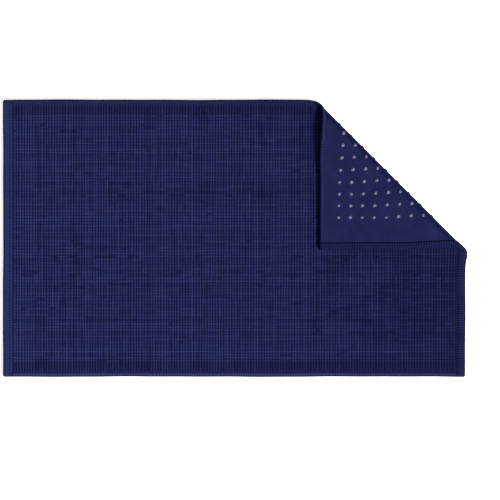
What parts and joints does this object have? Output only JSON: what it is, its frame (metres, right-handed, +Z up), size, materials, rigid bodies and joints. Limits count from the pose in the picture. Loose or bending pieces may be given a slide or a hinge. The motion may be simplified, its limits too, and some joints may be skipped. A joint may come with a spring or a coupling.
{
  "type": "bath mat",
  "caption": "Flat woven bath mat with hemmed ends, bound long sides and a dotted non-slip underside. One corner is folded over onto the face and opens flat.",
  "frame": {"origin": "on the floor, under the middle of the mat's rectangle", "axes": "+X along the long sides towards the right hem, +Y from the front long side to the back one, +Z up"},
  "size_m": [0.6096, 0.3656, 0.012],
  "materials": {
    "face_cloth": "matte",
    "backing_cloth": "matte",
    "inner_pad": "matte",
    "grip_dots": "satin",
    "tape": "matte",
    "thread": "satin"
  },
  "bodies": {
    "mat": {"back_binding": "tape", "back_binding_stitching": "thread", "backing_cloth": "backing_cloth", "face_cloth": "face_cloth", "front_binding": "tape", "front_binding_stitching": "thread", "grip_dots": "grip_dots", "inner_pad": "inner_pad", "left_hem": "tape", "left_hem_stitching": "thread", "right_hem": "tape", "right_hem_stitching": "thread"},
    "bend_1": {"back_binding_bend_1": "tape", "backing_cloth_bend_1": "backing_cloth", "face_cloth_bend_1": "face_cloth", "grip_dots_bend_1": "grip_dots", "inner_pad_bend_1": "inner_pad", "right_hem_bend_1": "tape"},
    "bend_2": {"back_binding_bend_2": "tape", "backing_cloth_bend_2": "backing_cloth", "face_cloth_bend_2": "face_cloth", "grip_dots_bend_2": "grip_dots", "inner_pad_bend_2": "inner_pad", "right_hem_bend_2": "tape"},
    "corner": {"back_binding_corner": "tape", "back_binding_stitching_corner": "thread", "backing_cloth_corner": "backing_cloth", "face_cloth_corner": "face_cloth", "grip_dots_corner": "grip_dots", "inner_pad_corner": "inner_pad", "right_hem_corner": "tape", "right_hem_stitching_corner": "thread"}
  },
  "joints": [
    {"name": "corner_fold", "type": "hinge", "parent": "mat", "child": "bend_1", "pos_m": [0.14356, 0.14356, 0.0011], "axis": [-0.7071, 0.7071, 0], "range_deg": [0, 60]},
    {"name": "corner_fold_2", "type": "hinge", "parent": "bend_1", "child": "bend_2", "pos_m": [0.14556, 0.14556, 0.006], "axis": [-0.7071, 0.7071, 0], "range_deg": [0, 60]},
    {"name": "corner_fold_3", "type": "hinge", "parent": "bend_2", "child": "corner", "pos_m": [0.14356, 0.14356, 0.0109], "axis": [-0.7071, 0.7071, 0], "range_deg": [0, 60]}
  ],
  "couplings": [
    {"joint": "corner_fold_2", "follows": "corner_fold", "ratio": 1},
    {"joint": "corner_fold_3", "follows": "corner_fold", "ratio": 1}
  ]
}
